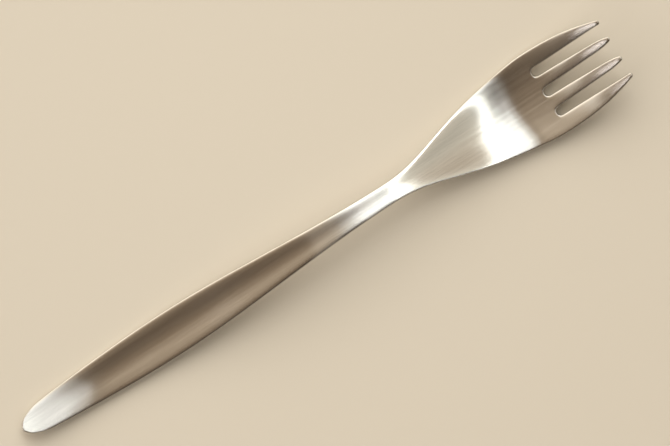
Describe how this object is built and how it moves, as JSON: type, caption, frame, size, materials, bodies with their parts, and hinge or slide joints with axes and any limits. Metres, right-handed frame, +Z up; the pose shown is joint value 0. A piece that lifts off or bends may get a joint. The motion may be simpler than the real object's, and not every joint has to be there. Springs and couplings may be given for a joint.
{
  "type": "dessert fork",
  "caption": "One-piece dessert fork in satin stainless steel: leaf-shaped hollowed handle, slim arched neck, long dished head and short tapered tines.",
  "frame": {"origin": "middle of the fork's length and width, on the plane that it rests on", "axes": "+X along the fork towards the tips of the tines, +Y across it, +Z up from the table to the hollow side"},
  "size_m": [0.1829, 0.0238, 0.0104],
  "materials": {
    "steel": "satin, brushed along the length"
  },
  "bodies": {
    "root": {"handle_and_head": "steel", "tine_1": "steel", "tine_2": "steel", "tine_3": "steel", "tine_4": "steel"}
  },
  "joints": []
}
